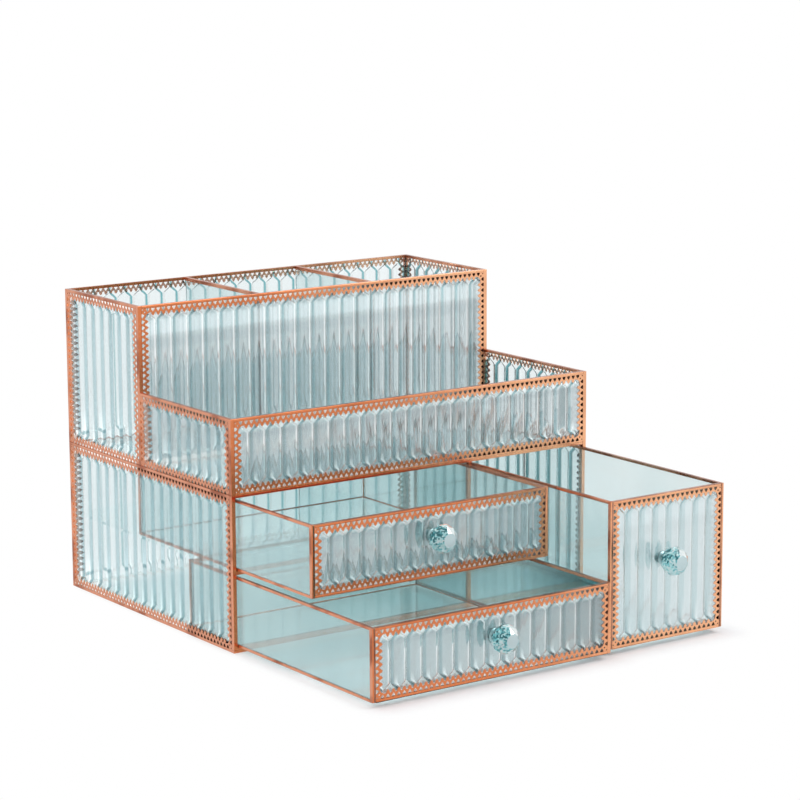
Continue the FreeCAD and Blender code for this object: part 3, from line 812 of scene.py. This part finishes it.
# %% One flute
FLUTE_PITCH = 13.0 * MM
POST_COVER = 5.0 * MM
FLUTE_RISE = 1.3 * MM
BEVEL_WIDTH = 3.0 * MM
EDGE_MARGIN = 3.8 * MM
ARCH_LENGTH = 4.6 * MM
ARCH_POWER = 1.25
ARCH_ROWS = 6
LAND = 0.02
LAND_MAP = -0.1
LEAST_REACH = 0.004 * MM
TIP_MAP_LENGTH = 16.0 * MM
BEVEL_SHARE = 0.96
BEVEL_MAP = 0.25
CROWN_MAP = 0.5
BEVEL_STEPS = ((0.0, 0.0), (0.10, 0.16), (0.90, 0.93), (1.0, 1.0))


def flute_rows(height):
    """Pairs of height and share of the full width, from the foot of a pane to its top."""
    half = [(0.0, 0.0)]
    for row in range(ARCH_ROWS + 1):
        share = row / ARCH_ROWS
        half.append((EDGE_MARGIN + share * ARCH_LENGTH, 1 - (1 - share) ** ARCH_POWER))
    return half + [(height - z, share) for z, share in reversed(half)]


def flute_columns(reach):
    """Places across half a flute from its outline inwards: distance, height share, map share."""
    slope = min(1.0, reach / BEVEL_WIDTH)
    bevel = min(BEVEL_WIDTH, reach * BEVEL_SHARE)
    columns = [(reach - bevel * part, rise * slope, part * BEVEL_MAP) for part, rise in BEVEL_STEPS]
    return columns + [(0.0, slope, CROWN_MAP)]


def flute_cell(pitch, height, depth, mirrored):
    """A mesh of one flute, open at its two sides, with its own map."""
    valley = LACE_GAUGE + FLUTE_RISE

    def make(shape):
        layer = shape.loops.layers.uv.new("flute")
        spots = {}
        grid = []
        for z, share in flute_rows(height):
            reach = max(pitch / 2 * (1 - LAND) * share, LEAST_REACH)
            half = [(pitch / 2, 0.0, LAND_MAP)] + flute_columns(reach)
            across = [(pitch / 2 - x, rise, u) for x, rise, u in half]
            across += [(pitch / 2 + x, rise, 1 - u) for x, rise, u in reversed(half[:-1])]
            near_end = max(0.0, 1 - min(z, height - z) / TIP_MAP_LENGTH)
            v = 0.5 + 0.5 * near_end * (1 if z > height / 2 else -1)
            row = []
            for x, rise, u in across:
                spot = shape.verts.new((x, valley - FLUTE_RISE * rise, z))
                spots[spot] = (1 - u if mirrored else u, v)
                row.append(spot)
            grid.append(row)
        for low, high in zip(grid, grid[1:]):
            for k in range(len(low) - 1):
                shape.faces.new((low[k], low[k + 1], high[k + 1], high[k]))
        back = [shape.verts.new((x, depth, z)) for z in (0.0, height) for x in (0.0, pitch)]
        for spot, v in zip(back, (0.0, 0.0, 1.0, 1.0)):
            spots[spot] = (CROWN_MAP, v)
        shape.faces.new((back[1], back[0], back[2], back[3]))
        shape.faces.new([back[0], back[1]] + grid[0][::-1])
        shape.faces.new([back[3], back[2]] + grid[-1])
        for face in shape.faces:
            for loop in face.loops:
                loop[layer].uv = spots[loop.vert]

    return mesh_from("flute_cell", make)


print(f"{len(BEVEL_STEPS)} points across each bevel of a flute, {ARCH_ROWS + 1} rows up each arch")

# %% [markdown]
# A pane is a row of such flutes.  Geometry Nodes set them side by side and weld the seams, and the
# two open ends of the row are then filled.  Last comes the second map, the distances from the
# pane's edges, on the faces that look outwards.

# %% Repeat the flute along a pane
flute_tree = Tree("Flute row", {
    "Flute": "NodeSocketGeometry",
    "Count": "NodeSocketInt",
    "Pitch": "NodeSocketFloat",
    "Finish": "NodeSocketMaterial",
})
inlet = flute_tree.inlet.outputs
line = flute_tree.add("GeometryNodeMeshLine", None, {
    "Count": inlet["Count"],
    "Offset": flute_tree.vector(x=inlet["Pitch"]),
})
row = flute_tree.add("GeometryNodeInstanceOnPoints", None, {"Points": line, "Instance": inlet["Flute"]})
flute_tree.close(row, inlet["Finish"])


def fluted_pane_mesh(pane):
    count = round((pane.width + POST_COVER) / FLUTE_PITCH)
    pitch = pane.width / count
    seed = flute_cell(pitch, pane.height, pane.depth, pane.mirrored)
    values = {"Count": count, "Pitch": pitch, "Finish": pane.finish}
    mesh = grown("flutes", seed, flute_tree, values)
    shape = bmesh.new()
    shape.from_mesh(mesh)
    bmesh.ops.holes_fill(shape, edges=[edge for edge in shape.edges if edge.is_boundary], sides=0)
    bmesh.ops.recalc_face_normals(shape, faces=shape.faces)
    layer = shape.loops.layers.uv.new("rim")
    for face in shape.faces:
        for loop in face.loops:
            x, _, z = loop.vert.co
            inwards = (min(x, pane.width - x), min(z, pane.height - z))
            loop[layer].uv = inwards if face.normal.y < 0 else (pane.width, pane.height)
    shape.to_mesh(mesh)
    shape.free()
    mesh.transform(pane.place)
    return mesh, count


print("the row tree takes", [item.name for item in flute_tree.group.interface.items_tree])

# %% [markdown]
# Each fluted pane of the frame is replaced by its own row.  Faces that meet at more than a small
# angle stay sharp, so that crowns, bevels and arches keep their edges.

# %% Flutes on every pane
SHARP_ANGLE = math.radians(24)
for node, pane in panes.items():
    mesh, count = fluted_pane_mesh(pane)
    mesh.shade_smooth()
    mesh.set_sharp_from_angle(angle=SHARP_ANGLE)
    settle(node.replace("_glass", "_flutes"), mesh, [node])
    print(f"{node}: {count} flutes, {len(mesh.polygons)} faces")

# %% [markdown]
# ## Pierced trim
# The trim is thin strip, stamped with a row of heart-shaped holes and cut to a row of teeth.  One
# stamped length and one corner are modelled with real holes.  Geometry Nodes lay them round each
# pane: four runs, each turned a quarter from the last, with a corner at the start of each.

# %% Stamped length and corner
LACE_PITCH = 4.2 * MM
LACE_BAND = 3.0 * MM
TOOTH_DEPTH = 2.5 * MM
TOOTH = ((0.10, 0.02), (0.25, 0.10), (0.17, 0.34), (0.33, 0.68), (0.50, 1.0))
TOOTH += tuple((1 - x, z) for x, z in reversed(TOOTH[:-1]))
HEART = (
    (-0.36, 0.18), (-0.28, 0.03), (-0.09, 0.0), (0.09, 0.0), (0.28, 0.03), (0.36, 0.18),
    (0.22, 0.60), (0.0, 1.0), (-0.22, 0.60),
)
HEART_LENGTH = 2.65 * MM
HEART_START = 0.06 * MM


def heart(centre, turn=0.0):
    """A hole's outline: its broad end lies towards the rail and its point towards the teeth."""
    spin = Matrix.Rotation(turn, 2)
    points = []
    for x, z in HEART:
        point = spin @ Vector((x * LACE_PITCH, z * HEART_LENGTH))
        points.append((centre[0] + point.x, centre[1] + point.y))
    return points


def stamped(outline, holes, walled):
    """A plate with holes.  Only the outline's walled edges get a side, so that lengths can join."""

    def make(shape):
        loops = [outline] + holes
        fronts = []
        for points in loops:
            ring = [shape.verts.new((x, 0.0, z)) for x, z in points]
            fronts.append(ring)
            for a, b in zip(ring, ring[1:] + ring[:1]):
                shape.edges.new((a, b))
        bmesh.ops.triangle_fill(shape, use_beauty=True, use_dissolve=False, edges=shape.edges)
        for face in shape.faces:
            if face.normal.y > 0:
                face.normal_flip()
        front_faces = list(shape.faces)
        back_of = {}
        for ring in fronts:
            for vert in ring:
                back_of[vert] = shape.verts.new((vert.co.x, LACE_GAUGE, vert.co.z))
        for face in front_faces:
            shape.faces.new([back_of[vert] for vert in reversed(face.verts)])
        for hole, ring in enumerate(fronts):
            for edge, (a, b) in enumerate(zip(ring, ring[1:] + ring[:1])):
                if hole or edge in walled:
                    shape.faces.new((a, b, back_of[b], back_of[a]))
        bmesh.ops.recalc_face_normals(shape, faces=shape.faces)

    return mesh_from("stamped", make)


band_outline = [(0.0, 0.0), (LACE_PITCH, 0.0), (LACE_PITCH, LACE_BAND)]
band_outline += [(LACE_PITCH * (1 - x), LACE_BAND + TOOTH_DEPTH * z) for x, z in TOOTH]
band_outline += [(0.0, LACE_BAND)]
last = len(band_outline) - 1
length_mesh = stamped(band_outline, [heart((LACE_PITCH / 2, HEART_START))], {0, *range(2, last)})

LEG = LACE_BAND + LACE_PITCH
CORNER_STEPS = 6
PIP_SIDES = 8
PIPS = ((0.95 * MM, 0.50 * MM), (2.75 * MM, 0.60 * MM))


def pip(centre, radius):
    """A small round hole."""
    angles = [2 * math.pi * k / PIP_SIDES for k in range(PIP_SIDES)]
    return [(centre + radius * math.cos(a), centre + radius * math.sin(a)) for a in angles]


sweep = [math.pi / 2 * k / CORNER_STEPS for k in range(CORNER_STEPS + 1)]
corner_outline = [(0.0, 0.0), (LEG, 0.0)]
corner_outline += [(LEG - LACE_PITCH * math.sin(a), LEG - LACE_PITCH * math.cos(a)) for a in sweep]
corner_outline += [(0.0, LEG)]
corner_holes = [
    *(pip(centre, radius) for centre, radius in PIPS),
    heart((LACE_BAND + LACE_PITCH / 2, HEART_START)),
    heart((HEART_START, LACE_BAND + LACE_PITCH / 2), -math.radians(90)),
]
corner_mesh = stamped(corner_outline, corner_holes, {0, *range(2, CORNER_STEPS + 2), CORNER_STEPS + 3})
print(f"a stamped length has {len(length_mesh.polygons)} faces and a corner {len(corner_mesh.polygons)}")

# %% [markdown]
# A run is a row of stamped lengths between two corners, stretched a little so that a whole number of
# them fits.  The switch named Foot leaves out the row at the bottom and keeps its corner.

# %% Lay the trim round a pane
lace_tree = Tree("Trim round a pane", {
    "Length": "NodeSocketGeometry",
    "Corner": "NodeSocketObject",
    "Width": "NodeSocketFloat",
    "Height": "NodeSocketFloat",
    "Pitch": "NodeSocketFloat",
    "Leg": "NodeSocketFloat",
    "Foot": "NodeSocketBool",
    "Finish": "NodeSocketMaterial",
})
inlet = lace_tree.inlet.outputs
corner_piece_in = {"Object": inlet["Corner"]}
corner_geometry = lace_tree.add("GeometryNodeObjectInfo", None, corner_piece_in, output="Geometry")
double_leg = lace_tree.sums("MULTIPLY", inlet["Leg"], 2.0)


def lace_run(span):
    """A straight run of stamped lengths that starts a corner's leg away from the origin."""
    clear = lace_tree.sums("SUBTRACT", span, double_leg)
    count = lace_tree.sums("ROUND", lace_tree.sums("DIVIDE", clear, inlet["Pitch"]), 0.0)
    step = lace_tree.sums("DIVIDE", clear, count)
    stretch = lace_tree.sums("DIVIDE", step, inlet["Pitch"])
    line = lace_tree.add("GeometryNodeMeshLine", None, {
        "Count": count,
        "Start Location": lace_tree.vector(x=inlet["Leg"]),
        "Offset": lace_tree.vector(x=step),
    })
    run = lace_tree.add("GeometryNodeInstanceOnPoints", None, {
        "Points": line,
        "Instance": inlet["Length"],
        "Scale": lace_tree.vector(x=stretch, y=1.0, z=1.0),
    })
    return lace_tree.joined([run, corner_geometry])


long_run = lace_run(inlet["Width"])
foot_run = lace_tree.add("GeometryNodeSwitch", {"input_type": "GEOMETRY"}, {
    "Switch": inlet["Foot"],
    "False": corner_geometry,
    "True": long_run,
})
short_run = lace_run(inlet["Height"])
width, height = inlet["Width"], inlet["Height"]
starts = (
    (foot_run, lace_tree.vector()),
    (short_run, lace_tree.vector(x=width)),
    (long_run, lace_tree.vector(x=width, z=height)),
    (short_run, lace_tree.vector(z=height)),
)
sides = []
for quarter, (run, corner) in enumerate(starts):
    sides.append(lace_tree.add("GeometryNodeTransform", None, {
        "Geometry": run,
        "Translation": corner,
        "Rotation": (0.0, -quarter * math.pi / 2, 0.0),
    }))
lace_tree.close(lace_tree.joined(sides), inlet["Finish"])
print("the trim tree takes", [item.name for item in lace_tree.group.interface.items_tree])

# %% [markdown]
# Each strip of trim in the frame is replaced by the rounds on the panes that it edges.  Panes that
# are seen through other panes leave out their lower run, because its holes would only show there as
# a muddle of dots.

# %% Trim on every face
TRIMMED = {
    "left_side_lace": ("cabinet_left_glass", "tray_left_glass", "box_left_glass"),
    "right_side_lace": ("cabinet_right_glass", "tray_right_glass", "box_right_glass"),
    "back_lace": ("cabinet_back_glass", "box_back_glass"),
    "tray_front_lace": ("tray_front_glass",),
    "box_front_lace": ("box_front_glass",),
    "upper_drawer_front_lace": ("upper_drawer_front_glass",),
    "lower_drawer_front_lace": ("lower_drawer_front_glass",),
    "tall_drawer_front_lace": ("tall_drawer_front_glass",),
}
WITHOUT_FOOT = ("cabinet_back_glass", "box_back_glass", "box_front_glass")


def joined_meshes(name, meshes):
    def make(shape):
        for mesh in meshes:
            shape.from_mesh(mesh)

    return mesh_from(name, make)


corner_piece = new_object("corner_seed", corner_mesh)
corner_piece.hide_render = True
for node, on_panes in TRIMMED.items():
    rounds = []
    for pane_node in on_panes:
        pane = panes[pane_node]
        values = {
            "Corner": corner_piece,
            "Width": pane.width,
            "Height": pane.height,
            "Pitch": LACE_PITCH,
            "Leg": LEG,
            "Foot": pane_node not in WITHOUT_FOOT,
            "Finish": lace_metal,
        }
        mesh = grown("round", length_mesh.copy(), lace_tree, values)
        mesh.transform(pane.place)
        rounds.append(mesh)
    mesh = joined_meshes(node, rounds)
    piece = settle(node.replace("_lace", "_trim"), mesh, [node], lace_metal)
    print(f"{piece.name}: {len(piece.data.polygons)} faces")
bpy.data.objects.remove(corner_piece)

# %% [markdown]
# ## Rails and posts
# Drawn metal strip has slightly rounded edges, which catch a thin line of light.  The frame's rails
# are copied, their doubled points are merged, and a small bevel rounds every edge.

# %% Round the metal edges
EDGE_ROUND = 0.22 * MM
EDGE_SEGMENTS = 2
EDGE_ANGLE = math.radians(40)
FLAT_ANGLE = math.radians(1)
SAME_POINT = 0.001 * MM


def rounded_copy(node):
    shape = bmesh.new()
    shape.from_mesh(slimmed_copy(node))
    bmesh.ops.remove_doubles(shape, verts=shape.verts, dist=SAME_POINT)
    bmesh.ops.dissolve_limit(shape, angle_limit=FLAT_ANGLE, verts=shape.verts, edges=shape.edges)
    mesh = bpy.data.meshes.new(node)
    shape.to_mesh(mesh)
    shape.free()
    piece = new_object(node, mesh)
    bevel = piece.modifiers.new("edges", "BEVEL")
    bevel.width = EDGE_ROUND
    bevel.segments = EDGE_SEGMENTS
    bevel.limit_method = "ANGLE"
    bevel.angle_limit = EDGE_ANGLE
    mesh = plain_mesh(piece)
    bpy.data.objects.remove(piece)
    return mesh


METAL_ENDINGS = ("_rails", "_posts", "_strips", "_caps", "_frame")
metal_nodes = [node for node in nodes if node.endswith(METAL_ENDINGS)]
for node in sorted(metal_nodes):
    mesh = rounded_copy(node)
    mesh.shade_smooth()
    mesh.set_sharp_from_angle(angle=SHARP_ANGLE)
    settle(f"{node}_plated", mesh, [node], rail_metal)
print(len(metal_nodes), "metal frames rounded")

# %% [markdown]
# ## Plain panes
# The plain panes are cut from sheet and their edges are eased with a stone, so that they slide in
# between the fluted ones with a hair of play.  Each copy is drawn in by that much on all sides,
# which also keeps two glass faces from lying in one plane.  What is still unreplaced here, apart
# from the knobs, is plain glass.

# %% Ease the plain panes
EASE = 0.15 * MM
CLEAR_PANES = ("bay_shelf_glass", "cabinet_floor_glass")


def eased_copy(node):
    low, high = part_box(node)
    middle = (low + high) / 2
    mesh = slimmed_copy(node)
    for vertex in mesh.vertices:
        vertex.co -= Vector([math.copysign(EASE, side) for side in vertex.co - middle])
    return mesh


special_finish = {node: shelf_pane for node in CLEAR_PANES}
special_finish[SHADED_PANE] = shaded_pane
plain_nodes = [node for node, piece in nodes.items() if not piece.hide_render and "_knob_" not in node]
for node in sorted(plain_nodes):
    finish = special_finish.get(node, plain_pane)
    settle(node.removesuffix("_glass") + "_pane", eased_copy(node), [node], finish)
print(len(plain_nodes), "plain panes eased")

# %% [markdown]
# ## Finishes of the knobs
# Crystals, knob mounts and screws already have their true shapes, so they keep their meshes and
# only get a finish.

# %% Carry over
carried = 0
for node, piece in nodes.items():
    if piece.hide_render:
        continue
    piece.data.materials.clear()
    piece.data.materials.append(crystal if node.endswith("_crystal") else nickel_metal)
    carried += 1
print(carried, "pieces keep their meshes")

# %% [markdown]
# ## Studio
# The organiser stands on a white sweep under soft light.  The floor is pale and takes the shadow,
# and a little way from the object it turns to pure white, so no horizon shows.  How near a place is
# comes from its distance to the three footprints, drawn in at the left and the back, where the
# sweep stays white almost up to the object.  The white is only for rays that look, straight or
# through glass: rays that light the object still find a matt floor.

# %% Floor
FLOOR_HALF = 14.0
FLOOR_DROP = 0.2 * MM
SHADOW_REACH = 0.024
FLOOR_PAINT = (0.95, 0.95, 0.97, 1.0)
WHITE = (1.0, 1.0, 1.0, 1.0)
FOOTPRINTS = (("base_frame", 0.018), ("lower_drawer_frame", 0.012), ("tall_drawer_frame", 0.0))


def looking(start):
    """1 for rays that look, straight or by way of glass and metal, and 0 for rays that only light."""
    path = start.tree.nodes.new("ShaderNodeLightPath")
    seen = Wire(start.tree, path.outputs["Is Camera Ray"])
    for kind in ("Is Glossy Ray", "Is Transmission Ray"):
        seen = start.maths("MAXIMUM", seen, Wire(start.tree, path.outputs[kind]))
    return seen


def past(wire, low, high):
    """How far a coordinate lies outside the span from low to high."""
    outside = wire.maths("MAXIMUM", low - wire, wire - high)
    return wire.maths("MAXIMUM", outside, 0.0)


def distance_to(place, node, inset):
    """How far a place on the floor lies from a node's footprint, drawn in at the left and the back."""
    low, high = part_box(node)
    aside = past(place.part("X"), low.x + inset, high.x)
    ahead = past(place.part("Y"), low.y, high.y - inset)
    return place.maths("SQRT", aside * aside + ahead * ahead)


def floor_finish():
    material, start = new_finish("studio_floor")
    place = coordinates(start)
    distances = [distance_to(place, node, inset) for node, inset in FOOTPRINTS]
    nearest = distances[0]
    for distance in distances[1:]:
        nearest = start.maths("MINIMUM", nearest, distance)
    far = (nearest * (1 / SHADOW_REACH)).step(0.0, 1.0)
    matt = start.node("ShaderNodeBsdfDiffuse", None, {"Color": FLOOR_PAINT})
    white = start.node("ShaderNodeEmission", None, {"Color": WHITE, "Strength": 1.0})
    shares = {0: far * looking(start), 1: matt, 2: white}
    finish_with(start, start.node("ShaderNodeMixShader", None, shares))
    return material


floor_mesh = mesh_from("studio_floor", lambda shape: bmesh.ops.create_grid(
    shape, x_segments=1, y_segments=1, size=FLOOR_HALF))
floor_mesh.transform(Matrix.Translation((0, 0, -FLOOR_DROP)))
floor_mesh.materials.append(floor_finish())
floor = new_object("studio_floor", floor_mesh)
print(f"floor {2 * FLOOR_HALF:.0f} m wide")

# %% [markdown]
# The world is a plain white room.  It looks brighter than it lights, so that the backdrop stays
# white while the glass keeps its depth.  Two large lamps shape the object: a key from the front
# right and a weak one from the left.

# %% World and lamps
SKY_LIGHT = 0.70
SKY_EXTRA = 0.30
OBJECT_MIDDLE = (0.0, -0.05, 0.1)
KEY_PLACE = (0.9, -1.3, 1.5)
SIDE_PLACE = (-1.6, -0.2, 0.9)

world = bpy.data.worlds.new("studio")
bpy.context.scene.world = world
world.use_nodes = True
world.node_tree.nodes.clear()
sky = Wire(world.node_tree)
sky_light = {"Color": WHITE, "Strength": looking(sky) * SKY_EXTRA + SKY_LIGHT}
finish_with(sky, sky.node("ShaderNodeBackground", None, sky_light), "ShaderNodeOutputWorld")


def soft_lamp(name, place, aim, side, power):
    data = bpy.data.lights.new(name, "AREA")
    data.size = side
    data.energy = power
    lamp = bpy.data.objects.new(name, data)
    lamp.location = place
    lamp.rotation_euler = (Vector(aim) - Vector(place)).to_track_quat("-Z", "Y").to_euler()
    bpy.context.scene.collection.objects.link(lamp)


soft_lamp("key_lamp", KEY_PLACE, OBJECT_MIDDLE, side=1.0, power=14.0)
soft_lamp("side_lamp", SIDE_PLACE, OBJECT_MIDDLE, side=0.8, power=5.0)

# %% [markdown]
# ## Render settings
# Colours are shown as they are written.  Light crosses many panes here, one behind another, so rays
# are allowed many turns.

# %% Finish
RAY_TURNS = 24
scene = bpy.context.scene
scene.view_settings.view_transform = "Standard"
scene.cycles.max_bounces = RAY_TURNS
scene.cycles.transmission_bounces = RAY_TURNS
scene.cycles.transparent_max_bounces = RAY_TURNS
